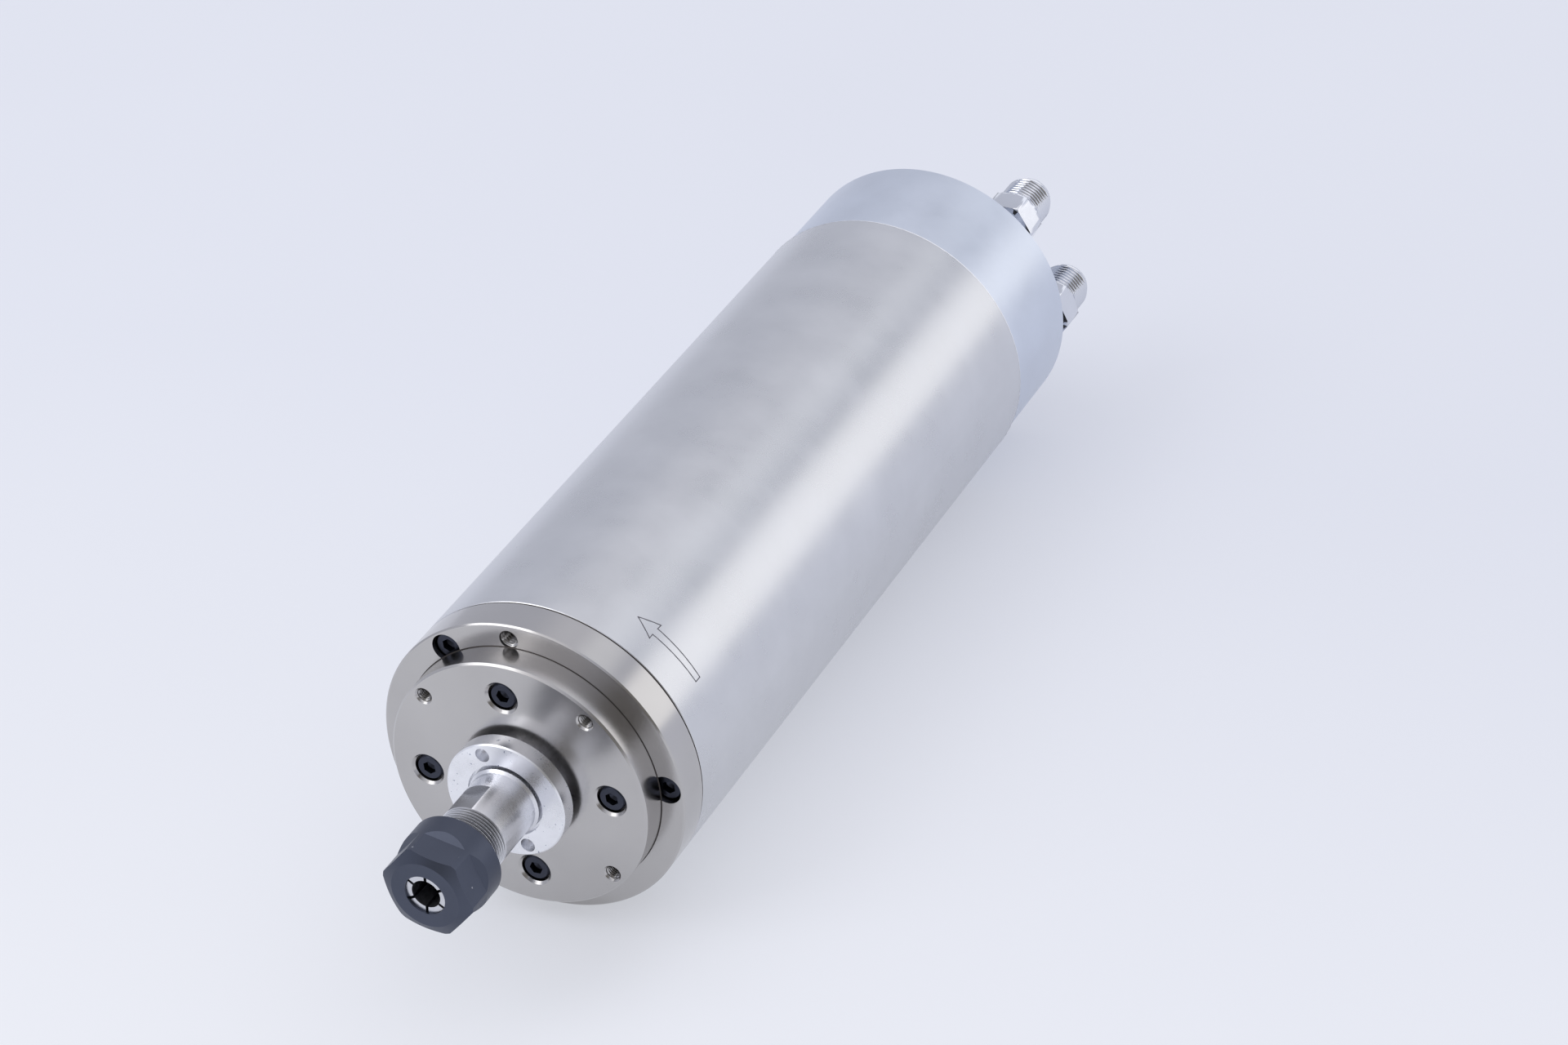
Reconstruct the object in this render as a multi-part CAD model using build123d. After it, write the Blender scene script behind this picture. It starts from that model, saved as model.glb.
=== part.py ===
from build123d import *
import math
import os

# Water-cooled motor spindle with a collet chuck. The spindle lies along Y with its nose toward -Y and +Z up.
# The origin is on the shaft axis, at the middle of the clamping tube. All sizes are in millimetres.
# Angles are measured in the XZ plane from +X toward +Z.

# ---- Fits ----
slip = 0.02  # radial play of pieces that are pressed, glued or slid together
thread_play = 0.05  # radial play of a screw in its tapped hole
screw_clearance = 0.2  # radial play of a screw in a through hole
taper_play = 0.03  # radial play of the collet in its seat
ball_play = 0.03  # play of a ball in its races
air_gap = 0.3  # between rotor and stator
labyrinth_gap = 0.35  # between the dust ring and the front cover

# ---- Clamping tube ----
tube_length = 157.0
tube_radius = 32.5
tube_wall = 1.5
tube_end_chamfer = 0.3

# ---- Front flange and front cover ----
flange_thickness = 7.7
flange_chamfer = 0.3
flange_spigot = 12.0
flange_barrel_wall = 5.0
bearing_shoulder = 3.0
cover_step = 5.0  # how far the boss stands in from the tube's surface
cover_thickness = 6.1
cover_chamfer = 0.4
cover_lip = 1.0
cover_screw_circle = 20.0
cover_screw_count = 4
cover_head_recess = 0.6
cover_counterbore_chamfer = 0.5
nose_hole_edge = 2.75
nose_hole_count = 4
nose_hole_start = 45.0
nose_hole_chamfer = 0.35
flange_screw_edge = 3.6
flange_screw_count = 3
flange_head_recess = 1.0
jack_hole_radius = 2.0
jack_hole_edge = 3.2
jack_hole_count = 2
jack_hole_start = 90.0

# ---- Socket cap screws: M3, M2.5 ----
m3_radius = 1.5
m3_head_radius = 2.75
m3_head_height = 3.0
m3_key = 2.5
m25_radius = 1.25
m25_head_radius = 2.25
m25_head_height = 2.5
m25_key = 2.0
m3_screw = (m3_radius, m3_head_radius, m3_head_height, m3_key)
m25_screw = (m25_radius, m25_head_radius, m25_head_height, m25_key)
counterbore_play = 0.3
key_depth = 1.4
key_turn = 30.0
head_edge = 0.3
screw_engagement = 6.5
tapped_spare = 1.0

# ---- Cooling jacket, stator and windings ----
jacket_wall = 5.5
channel_depth = 3.0
channel_count = 10
channel_rib_angle = 6.0
channel_end_wall = 14.5
channel_crossing = 8.0
jacket_end_gap = 12.0
o_ring_section = 0.68
o_ring_groove_depth = 1.4
o_ring_groove_width = 1.8
flange_ring_place = 6.0
jacket_ring_place = 10.8
core_length = 72.0
core_centre = -2.0
stator_bore = 13.3
slot_count = 12
slot_inner_radius = 14.8
stator_yoke = 4.7
slot_inner_half = 1.6
slot_outer_half = 2.9
slot_opening_half = 0.9
slot_start = 15.0
liner_thickness = 0.3
liner_overhang = 1.5
end_turn_inner = 14.6
end_turn_side_gap = 2.1
end_turn_length = 12.0
end_turn_gap = 2.5
end_turn_rounding = 2.6

# ---- Rotor ----
rotor_bar_count = 16
rotor_bar_radius = 1.3
rotor_bar_circle = 11.2
end_ring_inner = 9.4
end_ring_length = 4.0
core_shaft_radius = 8.0
rear_journal_radius = 7.0

# ---- Bearings: bore radius, outer radius, width, ball radius, balls ----
front_bore = 7.5
front_outer = 16.0
front_width = 9.0
front_ball = 2.38
front_balls = 12
rear_bore = 6.0
rear_outer = 14.0
rear_width = 8.0
rear_ball = 2.38
rear_balls = 10
race_land = 0.6  # how far up the ball each race reaches, as a share of the ball radius
cage_half_thickness = 0.8
cage_edge = 1.1
pocket_play = 0.12
spacer_length = 4.0
spring_thickness = 0.6
spring_height = 3.0

# ---- Shaft nose ----
nose_radius = 7.0
thread_pitch = 0.75
thread_depth = 0.46
thread_length = 14.0
flat_across = 12.0
flat_length = 7.3
flat_angle = 113.3
nose_shoulder_gap = 1.0
collar_radius = 9.9
collar_length = 3.2
draw_bore = 3.4
draw_bore_depth = 8.0

# ---- Dust ring ----
dust_radius = 12.7
dust_thickness = 3.5
dust_gap = 1.7
dust_chamfer = 0.28
dust_hub_radius = 9.6
dust_recess_radius = 8.0
dust_recess_depth = 1.2
pin_hole_radius = 1.5
pin_hole_circle = 10.35
pin_hole_depth = 2.4
pin_hole_angle = 107.8

# ---- Collet and nut ----
nut_length = 12.4
nut_radius = 9.5
nut_flats = 17.0
nut_flat_angle = 15.0
nut_flat_end = 6.4
nut_flat_runout = 1.4
nut_front_chamfer_radius = 7.1
nut_front_chamfer = 1.2
nut_rear_chamfer = 0.35
nut_mouth = 4.25
nut_mouth_depth = 0.5
nut_rear_reach = 37.7
collet_bore = 3.0
collet_length = 18.0
collet_head_radius = 5.24
collet_head_length = 2.4
collet_groove_radius = 4.6
collet_groove_end = 3.7
collet_big_radius = 5.75
collet_big_place = 4.1
collet_taper = 8.0
collet_slot = 0.6
collet_slots = 6
collet_slot_angle = 22.6
collet_slot_length = 13.0
nut_play = 0.06
nut_ring_radius = 4.95
nut_ring_play = 0.15

# ---- Rear bearing housing and rear cover ----
housing_disc_step = 2.5
housing_shoulder_bore = 11.0
housing_spigot = 8.0
housing_screw_edge = 2.8
housing_screw_step = 60.0
housing_screw_angles = [110.0 + i * housing_screw_step for i in range(4)]
housing_ring_back = 4.1
lead_hole_radius = 2.8
lead_hole_wall = 2.7
lead_hole_angle = 225.0
rear_cover_step = 0.6
rear_cover_length = 26.2
rear_cover_wall = 6.7
rear_cover_chamfer = 0.4
cavity_wall = 8.4
cavity_offset = 4.5
cavity_angle = 200.0
rear_screw_edge = 5.4
rear_screw_count = 3
rear_screw_start = 80.0
rear_head_recess = 0.5
lock_nut_radius = 9.5
lock_nut_length = 6.0
lock_nut_slots = 4
lock_nut_slot_width = 2.5
lock_nut_slot_depth = 1.5
shaft_tail = 1.0

# ---- Water ports and fittings ----
port_edge = [9.4, 7.7]
port_angle = [42.6, -14.5]
port_hex_turn = [115.2, 50.0]
water_hole = 1.75
cross_hole = 1.3
cross_place = 3.0
jacket_port_edge = 1.8
jacket_port_radius = 1.5
port_ring_section = 0.55
port_ring_radius = 2.9
fitting_stub_radius = 4.0
fitting_stub_length = 7.0
fitting_neck_radius = 4.6
fitting_neck_length = 5.8
fitting_hex = 12.0
fitting_hex_length = 6.9
fitting_hex_bevel = 0.4
fitting_hex_crown = 1.25
fitting_shoulder_radius = 4.8
fitting_shoulder_length = 0.5
fitting_thread_radius = 5.5
fitting_thread_length = 7.8
fitting_tip_radius = 4.4
fitting_tip_length = 1.4
fitting_bore = 2.1
washer_radius = 6.2
washer_thickness = 1.0

# ---- Electrical connector ----
plug_side_gap = 0.6  # between the plug's nut and the cavity
plug_angle = 232.8  # around the cavity's middle
plug_flange_radius = 9.4
plug_flange_thickness = 2.0
plug_thread_radius = 7.9
plug_thread_length = 10.3
plug_barrel_radius = 7.5
plug_barrel_inner = 5.0
plug_socket_radius = 6.6
plug_socket_depth = 9.0
plug_pin_radius = 0.9
plug_pin_square = 2.6
plug_pin_height = 4.4
plug_pin_tail = 3.0
plug_nut_radius = 9.4
plug_nut_thickness = 2.6
plug_gasket = 0.5
lead_radius = 0.8
lead_spread = 1.1
lead_end_run = 5.5

# ---- Radii and circles, from the tube inward ----
tube_bore = tube_radius - tube_wall
cover_radius = tube_radius - cover_step
nose_hole_circle = cover_radius - nose_hole_edge
flange_screw_circle = tube_radius - flange_screw_edge
jack_hole_circle = tube_radius - jack_hole_edge
jacket_bore = tube_bore - jacket_wall
jacket_port_circle = tube_bore - jacket_port_edge
housing_screw_circle = tube_bore - housing_screw_edge
slot_outer_radius = jacket_bore - stator_yoke
end_turn_outer = jacket_bore - end_turn_side_gap
lead_hole_circle = rear_outer + lead_hole_wall + lead_hole_radius
rear_cover_radius = tube_radius - rear_cover_step
rear_screw_circle = rear_cover_radius - rear_screw_edge
port_radius = [rear_cover_radius - edge for edge in port_edge]
cavity_radius = rear_cover_radius - cavity_offset - cavity_wall

# ---- Places along the axis ----
tube_front = -tube_length / 2
tube_rear = tube_length / 2
flange_face = tube_front - flange_thickness
cover_face = flange_face - cover_thickness
dust_rear = cover_face - dust_gap
dust_front = dust_rear - dust_thickness
bearing_1 = flange_face + cover_lip
bearing_2 = bearing_1 + front_width + spacer_length
stack_end = bearing_2 + front_width
flange_end = stack_end + bearing_shoulder
housing_rear = tube_rear - housing_disc_step
jacket_rear = tube_rear - jacket_end_gap
housing_front = jacket_rear - housing_spigot
spring_front = housing_front + bearing_shoulder
rear_bearing = spring_front + spring_height
lock_nut_front = rear_bearing + rear_width
shaft_rear = lock_nut_front + lock_nut_length + shaft_tail
core_front = core_centre - core_length / 2
core_rear = core_centre + core_length / 2
rear_face = tube_rear + rear_cover_length
nut_rear = tube_front - nut_rear_reach
nut_front = nut_rear - nut_length
collet_front = nut_front + nut_mouth_depth
shaft_front = collet_front + collet_big_place - slip
thread_end = shaft_front + thread_length
flat_end = thread_end + flat_length
channel_front = tube_front + channel_end_wall
channel_rear = jacket_rear - (channel_end_wall - housing_disc_step)


# ---- Shape helpers ----
def polar(radius, angle):
    """X and Z of a point at a radius and an angle in degrees."""
    turn = math.radians(angle)
    return radius * math.cos(turn), radius * math.sin(turn)


def prism(sketch, low, high):
    """A sketch drawn in X and Z, carried along Y from low to high."""
    return extrude(Plane.XZ.offset(-high) * sketch, high - low)


def rod(radius, low, high, x=0.0, z=0.0):
    return prism(Pos(x, z) * Circle(radius), low, high)


def ring(outer, inner, low, high, x=0.0, z=0.0):
    return prism(Pos(x, z) * (Circle(outer) - Circle(inner)), low, high)


def turned(points):
    """A body turned about the Y axis from (radius, y) points."""
    return revolve(make_face(Polyline(*points, close=True)), Axis.Y)


def cone(radius_low, radius_high, low, high, x=0.0, z=0.0):
    """A truncated cone along Y."""
    points = [(0, low), (radius_low, low), (radius_high, high), (0, high)]
    return Pos(x, 0, z) * turned(points)


def around(shape, angles):
    """Copies of a shape turned about the Y axis."""
    return [Rot(0, -angle, 0) * shape for angle in angles]


def even(count, start=0.0):
    return [start + 360.0 * i / count for i in range(count)]


def hexagon(across, turn=0.0):
    """A hexagon with one corner at the angle turn."""
    return Rot(0, 0, turn) * RegularPolygon(across / math.sqrt(3), 6)


def cut(shape, tools):
    for tool in tools:
        shape = shape - tool
    return shape


def cap_screw(circle, head_top, sizes, length):
    """A socket cap screw along +Y on the X axis, its head top at head_top and its length under the head."""
    radius, head_radius, head_height, key = sizes
    head = turned(
        [
            (0, head_top),
            (head_radius - head_edge, head_top),
            (head_radius, head_top + head_edge),
            (head_radius, head_top + head_height),
            (0, head_top + head_height),
        ]
    )
    under = head_top + head_height
    shank = rod(radius - thread_play, under, under + length)
    socket = prism(hexagon(key, key_turn), head_top, head_top + key_depth)
    point = cone(key / 2, 0.2, head_top + key_depth, head_top + key_depth + key / 4)
    return Pos(circle, 0, 0) * cut(head + shank, [socket, point])


def o_ring(radius, y):
    return Pos(0, y, 0) * Rot(90, 0, 0) * Torus(radius, o_ring_section)


def outer_groove(radius, y):
    """The groove that an O-ring sits in, cut into a cylinder of this radius."""
    half = o_ring_groove_width / 2
    return ring(radius + 1, radius - o_ring_groove_depth, y - half, y + half)


def o_ring_radius(radius):
    return radius - o_ring_groove_depth + o_ring_section + slip


# ---- Clamping tube ----
def outer_tube():
    c = tube_end_chamfer
    return turned(
        [
            (tube_bore, tube_front),
            (tube_radius - c, tube_front),
            (tube_radius, tube_front + c),
            (tube_radius, tube_rear - c),
            (tube_radius - c, tube_rear),
            (tube_bore, tube_rear),
        ]
    )


# ---- Front flange, cover and their screws ----
cover_head_top = cover_face + cover_head_recess
cover_head_seat = cover_head_top + m3_head_height
flange_head_top = flange_face + flange_head_recess
flange_head_seat = flange_head_top + m3_head_height
cover_screw_length = flange_face + screw_engagement - cover_head_seat
flange_screw_length = tube_front + screw_engagement - flange_head_seat
counterbore = m3_head_radius + counterbore_play
flange_screw_angles = even(flange_screw_count)
cover_screw_angles = even(cover_screw_count)
nose_hole_angles = even(nose_hole_count, nose_hole_start)
jack_hole_angles = even(jack_hole_count, jack_hole_start)


def front_flange():
    c = flange_chamfer
    spigot = jacket_bore - slip
    barrel = front_outer + flange_barrel_wall
    shoulder_bore = front_outer - bearing_shoulder
    body = turned(
        [
            (front_outer + slip, flange_face),
            (tube_radius - c, flange_face),
            (tube_radius, flange_face + c),
            (tube_radius, tube_front - c),
            (tube_radius - c, tube_front),
            (spigot, tube_front),
            (spigot, tube_front + flange_spigot),
            (barrel, tube_front + flange_spigot),
            (barrel, flange_end),
            (shoulder_bore, flange_end),
            (shoulder_bore, stack_end),
            (front_outer + slip, stack_end),
        ]
    )
    body = body - outer_groove(spigot, tube_front + flange_ring_place)
    tapped = rod(m3_radius, flange_face, flange_face + screw_engagement + tapped_spare, cover_screw_circle)
    bore = rod(counterbore, flange_face, flange_head_seat, flange_screw_circle)
    through = rod(m3_radius + screw_clearance, flange_face, tube_front, flange_screw_circle)
    jack = rod(jack_hole_radius, flange_face, tube_front, jack_hole_circle)
    body = cut(body, around(tapped, cover_screw_angles))
    body = cut(body, around(bore, flange_screw_angles))
    body = cut(body, around(through, flange_screw_angles))
    return cut(body, around(jack, jack_hole_angles))


def front_bearing_cover():
    c = cover_chamfer
    bore = dust_hub_radius + labyrinth_gap
    lip = front_outer - slip
    land = front_outer - bearing_shoulder
    body = turned(
        [
            (bore, cover_face),
            (cover_radius - c, cover_face),
            (cover_radius, cover_face + c),
            (cover_radius, flange_face),
            (lip, flange_face),
            (lip, bearing_1),
            (land, bearing_1),
            (land, flange_face),
            (bore, flange_face),
        ]
    )
    edge = cover_counterbore_chamfer
    pocket = rod(counterbore, cover_face, cover_head_seat, cover_screw_circle)
    pocket_edge = cone(counterbore + edge, counterbore, cover_face, cover_face + edge, cover_screw_circle)
    through = rod(m3_radius + screw_clearance, cover_face, flange_face, cover_screw_circle)
    nose_hole = rod(m3_radius, cover_face, flange_face, nose_hole_circle)
    rim = nose_hole_chamfer
    nose_edge = cone(m3_radius + rim, m3_radius, cover_face, cover_face + rim, nose_hole_circle)
    for tool in (pocket, pocket_edge, through):
        body = cut(body, around(tool, cover_screw_angles))
    for tool in (nose_hole, nose_edge):
        body = cut(body, around(tool, nose_hole_angles))
    return body


def cover_screws():
    screw = cap_screw(cover_screw_circle, cover_head_top, m3_screw, cover_screw_length)
    return around(screw, cover_screw_angles)


def flange_screws():
    screw = cap_screw(flange_screw_circle, flange_head_top, m3_screw, flange_screw_length)
    return around(screw, flange_screw_angles)


# ---- Cooling jacket: lengthwise channels joined at alternate ends ----
port_middle = (port_angle[0] + port_angle[1]) / 2
channel_pitch = 360.0 / channel_count
channel_floor = tube_bore - channel_depth


def wedge(start, stop, inner, outer, low, high):
    """A piece of a ring between two angles."""
    steps = 8
    turns = [start + (stop - start) * i / steps for i in range(steps + 1)]
    reach = outer / math.cos(math.radians((stop - start) / steps / 2)) + 1
    corners = [(0, 0)] + [polar(reach, turn) for turn in turns]
    sector = prism(make_face(Polyline(*corners, close=True)), low, high)
    return ring(outer, inner, low, high) & sector


def cooling_jacket():
    outer = tube_bore - slip
    body = ring(outer, jacket_bore, tube_front, jacket_rear)
    for i in range(channel_count):
        start = port_middle + i * channel_pitch + channel_rib_angle / 2
        stop = port_middle + (i + 1) * channel_pitch - channel_rib_angle / 2
        body = body - wedge(start, stop, channel_floor, outer + 1, channel_front, channel_rear)
        if i < channel_count - 1:
            joined = stop + channel_rib_angle
            at_front = i % 2 == 0
            low = channel_front if at_front else channel_rear - channel_crossing
            body = body - wedge(stop - 1, joined + 1, channel_floor, outer + 1, low, low + channel_crossing)
    tapped = rod(m3_radius, tube_front, tube_front + screw_engagement + tapped_spare, flange_screw_circle)
    rear_depth = jacket_rear - screw_engagement - tapped_spare
    rear_tapped = rod(m25_radius, rear_depth, jacket_rear, housing_screw_circle)
    port = rod(jacket_port_radius, channel_rear - 1, jacket_rear, jacket_port_circle)
    body = body - outer_groove(outer, tube_front + jacket_ring_place)
    body = cut(body, around(tapped, flange_screw_angles))
    body = cut(body, around(rear_tapped, housing_screw_angles))
    return cut(body, around(port, port_angle))


# ---- Stator ----
def slot_shape(inset):
    """The tapered slot, drawn along X and drawn in by inset on every side."""
    inner = slot_inner_radius + inset
    outer = slot_outer_radius - inset
    near = slot_inner_half - inset
    far = slot_outer_half - inset
    return make_face(Polyline((inner, -near), (outer, -far), (outer, far), (inner, near), close=True))


slot_angles = even(slot_count, slot_start)


def stator_core():
    body = ring(jacket_bore - slip, stator_bore, core_front, core_rear)
    slot = prism(slot_shape(0.0), core_front, core_rear)
    mouth_length = slot_inner_radius - stator_bore + 1
    mouth = Pos((slot_inner_radius + stator_bore) / 2, 0) * Rectangle(mouth_length, 2 * slot_opening_half)
    opening = prism(mouth, core_front, core_rear)
    body = cut(body, around(slot, slot_angles))
    return cut(body, around(opening, slot_angles))


def slot_liners():
    sleeve = slot_shape(slip) - slot_shape(liner_thickness)
    liner = prism(sleeve, core_front - liner_overhang, core_rear + liner_overhang)
    return around(liner, slot_angles)


def slot_wedges():
    inner = stator_bore + air_gap
    width = slot_inner_radius - inner
    strip = Pos(inner + width / 2, 0) * Rectangle(width, 2 * (slot_opening_half - slip))
    return around(prism(strip, core_front, core_rear), slot_angles)


def end_turn(low, high):
    """One rounded ring of end turns."""
    outline = Pos((end_turn_inner + end_turn_outer) / 2, (low + high) / 2) * RectangleRounded(
        end_turn_outer - end_turn_inner, high - low, end_turn_rounding
    )
    return revolve(outline, Axis.Y)


def stator_windings():
    low = core_front - end_turn_gap - end_turn_length
    high = core_rear + end_turn_gap + end_turn_length
    middle = end_turn_length / 2
    bar = prism(slot_shape(liner_thickness + slip), low + middle, high - middle)
    body = end_turn(low, low + end_turn_length) + end_turn(high - end_turn_length, high)
    for piece in around(bar, slot_angles):
        body = body + piece
    return body


# ---- Rotor ----
def rotor_core():
    body = ring(stator_bore - air_gap, core_shaft_radius + slip, core_front, core_rear)
    hole = rod(rotor_bar_radius, core_front, core_rear, rotor_bar_circle)
    return cut(body, around(hole, even(rotor_bar_count)))


def rotor_cage():
    outer = rotor_bar_circle + rotor_bar_radius
    body = ring(outer, end_ring_inner, core_front - end_ring_length, core_front)
    body = body + ring(outer, end_ring_inner, core_rear, core_rear + end_ring_length)
    bar = rod(rotor_bar_radius - slip, core_front - 1, core_rear + 1, rotor_bar_circle)
    for piece in around(bar, even(rotor_bar_count)):
        body = body + piece
    return body


# ---- Bearings ----
def bearing(low, width, bore, outer, ball, count):
    """The outer race, inner race, balls and cage of one bearing."""
    pitch = (bore + outer) / 2
    middle = low + width / 2
    track = Pos(0, middle, 0) * Rot(90, 0, 0) * Torus(pitch, ball + ball_play)
    outer_race = ring(outer, pitch + race_land * ball, low, low + width) - track
    inner_race = ring(pitch - race_land * ball, bore + slip, low, low + width) - track
    ball_piece = Pos(pitch, middle, 0) * Sphere(ball)
    pocket = Pos(pitch, middle, 0) * Rot(0, 90, 0) * Cylinder(ball + pocket_play, 4 * cage_half_thickness)
    half = width / 2 - cage_edge
    cage = ring(pitch + cage_half_thickness, pitch - cage_half_thickness, middle - half, middle + half)
    cage = cut(cage, around(pocket, even(count)))
    return {
        "outer_race": outer_race,
        "inner_race": inner_race,
        "balls": around(ball_piece, even(count)),
        "cage": cage,
    }


def outer_spacer():
    inner = (front_bore + front_outer) / 2 + race_land * front_ball
    return ring(front_outer, inner, bearing_1 + front_width, bearing_2)


def inner_spacer():
    outer = (front_bore + front_outer) / 2 - race_land * front_ball
    return ring(outer, front_bore + slip, bearing_1 + front_width, bearing_2)


def preload_spring():
    """A disc spring between the rear housing's shoulder and the outer race."""
    inner = housing_shoulder_bore + 0.3
    outer = rear_outer - 0.2
    return turned(
        [
            (inner, spring_front),
            (outer, rear_bearing - spring_thickness),
            (outer, rear_bearing),
            (inner, spring_front + spring_thickness),
        ]
    )


# ---- Shaft ----
def collet_radius(place):
    """The radius of the collet's long taper at a distance from its front face."""
    return collet_big_radius - math.tan(math.radians(collet_taper)) * (place - collet_big_place)


def seat_point(place):
    return collet_radius(place) + taper_play, collet_front + place


def shaft():
    seat_end = collet_length + 1.0
    seat_radius, seat_y = seat_point(seat_end)
    mouth_radius = collet_radius(shaft_front - collet_front) + taper_play
    shoulder = dust_front - nose_shoulder_gap
    points = [
        (mouth_radius, shaft_front),
        (nose_radius - thread_depth, shaft_front),
        (nose_radius, shaft_front + thread_depth),
        (nose_radius, shoulder),
        (front_bore, shoulder + front_bore - nose_radius),
        (front_bore, stack_end),
        (collar_radius, stack_end),
        (collar_radius, stack_end + collar_length),
        (core_shaft_radius, stack_end + collar_length),
        (core_shaft_radius, core_rear + end_ring_length + 2),
        (rear_journal_radius, core_rear + end_ring_length + 2),
        (rear_journal_radius, rear_bearing),
        (rear_bore, rear_bearing),
        (rear_bore, shaft_rear - 0.5),
        (rear_bore - 0.5, shaft_rear),
        (0, shaft_rear),
        (0, seat_y + draw_bore_depth),
        (draw_bore, seat_y + draw_bore_depth),
        (draw_bore, seat_y),
        (seat_radius, seat_y),
    ]
    body = turned(points)
    turns = int(thread_length / thread_pitch) - 1
    for i in range(turns):
        middle = thread_end - (i + 0.5) * thread_pitch
        half = thread_pitch * 0.44
        groove = turned(
            [
                (nose_radius + 0.2, middle - half - 0.1),
                (nose_radius + 0.2, middle + half + 0.1),
                (nose_radius - thread_depth, middle + 0.05),
                (nose_radius - thread_depth, middle - 0.05),
            ]
        )
        body = body - groove
    side = nose_radius - flat_across / 2 + 1
    middle = (thread_end + flat_end) / 2
    flat = Pos(flat_across / 2 + side / 2, middle, 0) * Box(side, flat_length, 2 * nose_radius)
    return cut(body, around(flat, [flat_angle, flat_angle + 180]))


# ---- Dust ring ----
def dust_ring():
    c = dust_chamfer
    bore = front_bore + slip
    body = turned(
        [
            (dust_recess_radius, dust_front),
            (dust_radius - c, dust_front),
            (dust_radius, dust_front + c),
            (dust_radius, dust_rear),
            (dust_hub_radius, dust_rear),
            (dust_hub_radius, bearing_1),
            (bore, bearing_1),
            (bore, dust_front + dust_recess_depth),
            (dust_recess_radius, dust_front + dust_recess_depth),
        ]
    )
    hole = rod(pin_hole_radius, dust_front, dust_front + pin_hole_depth, pin_hole_circle)
    return cut(body, around(hole, [pin_hole_angle, pin_hole_angle + 180]))


# ---- Collet and collet nut ----
def collet():
    head_cone = (collet_head_radius - nut_mouth + nut_play) / math.tan(math.radians(30))
    points = [
        (collet_bore, 0),
        (nut_mouth - nut_play, 0),
        (collet_head_radius, head_cone),
        (collet_head_radius, collet_head_length),
        (collet_groove_radius, collet_head_length),
        (collet_groove_radius, collet_groove_end),
        (collet_big_radius - 0.3, collet_groove_end),
        (collet_big_radius, collet_big_place),
        (collet_radius(collet_length), collet_length),
        (collet_bore, collet_length),
    ]
    body = turned([(radius, collet_front + place) for radius, place in points])
    reach = collet_big_radius + 1
    blade = Pos(reach / 2, 0) * Rectangle(reach, collet_slot)
    from_front = prism(blade, collet_front, collet_front + collet_slot_length)
    from_rear = prism(blade, collet_front + collet_length - collet_slot_length, collet_front + collet_length)
    body = cut(body, around(from_front, even(collet_slots, collet_slot_angle)))
    return cut(body, around(from_rear, even(collet_slots, collet_slot_angle + 180.0 / collet_slots)))


def collet_nut():
    head_cone = (collet_head_radius - nut_mouth + nut_play) / math.tan(math.radians(30))
    shelf = shaft_front - 0.3
    groove_front = collet_front + collet_head_length + nut_ring_play
    groove_rear = collet_front + collet_groove_end - nut_ring_play
    back = nut_rear_chamfer
    points = [
        (nut_mouth, nut_front),
        (nut_front_chamfer_radius, nut_front),
        (nut_radius, nut_front + nut_front_chamfer),
        (nut_radius, nut_rear - back),
        (nut_radius - back, nut_rear),
        (nose_radius + nut_play + back, nut_rear),
        (nose_radius + nut_play, nut_rear - back),
        (nose_radius + nut_play, shelf),
        (collet_big_radius + 0.25, shelf),
        (collet_big_radius + 0.25, groove_rear),
        (nut_ring_radius, groove_rear),
        (nut_ring_radius, groove_front),
        (collet_head_radius + nut_play, groove_front),
        (collet_head_radius + nut_play, collet_front + head_cone),
        (nut_mouth, collet_front),
    ]
    body = turned(points)
    flat = nut_flats / 2
    depth = nut_radius - flat
    flat_stop = nut_front + nut_flat_end
    rise = 3.0
    outline = Polyline(
        (flat, nut_front - 1),
        (flat, flat_stop),
        (flat + rise, flat_stop + rise * nut_flat_runout / depth),
        (flat + rise, nut_front - 1),
        close=True,
    )
    cutter = extrude(make_face(outline), nut_radius, both=True)
    return cut(body, around(cutter, even(6, nut_flat_angle)))


# ---- Rear bearing housing ----
housing_head_top = housing_rear - m25_head_height
cross_y = jacket_rear + cross_place
rear_screw_angles = even(rear_screw_count, rear_screw_start)


def flip(shape, y):
    """Turns a piece end for end about the X axis direction, around a plane across Y."""
    return Pos(0, y, 0) * Rot(180, 0, 0) * Pos(0, -y, 0) * shape


def rear_facing_screw(circle, head_top, sizes, length):
    """A cap screw whose head faces +Y."""
    return flip(cap_screw(circle, head_top, sizes, length), head_top)


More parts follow.
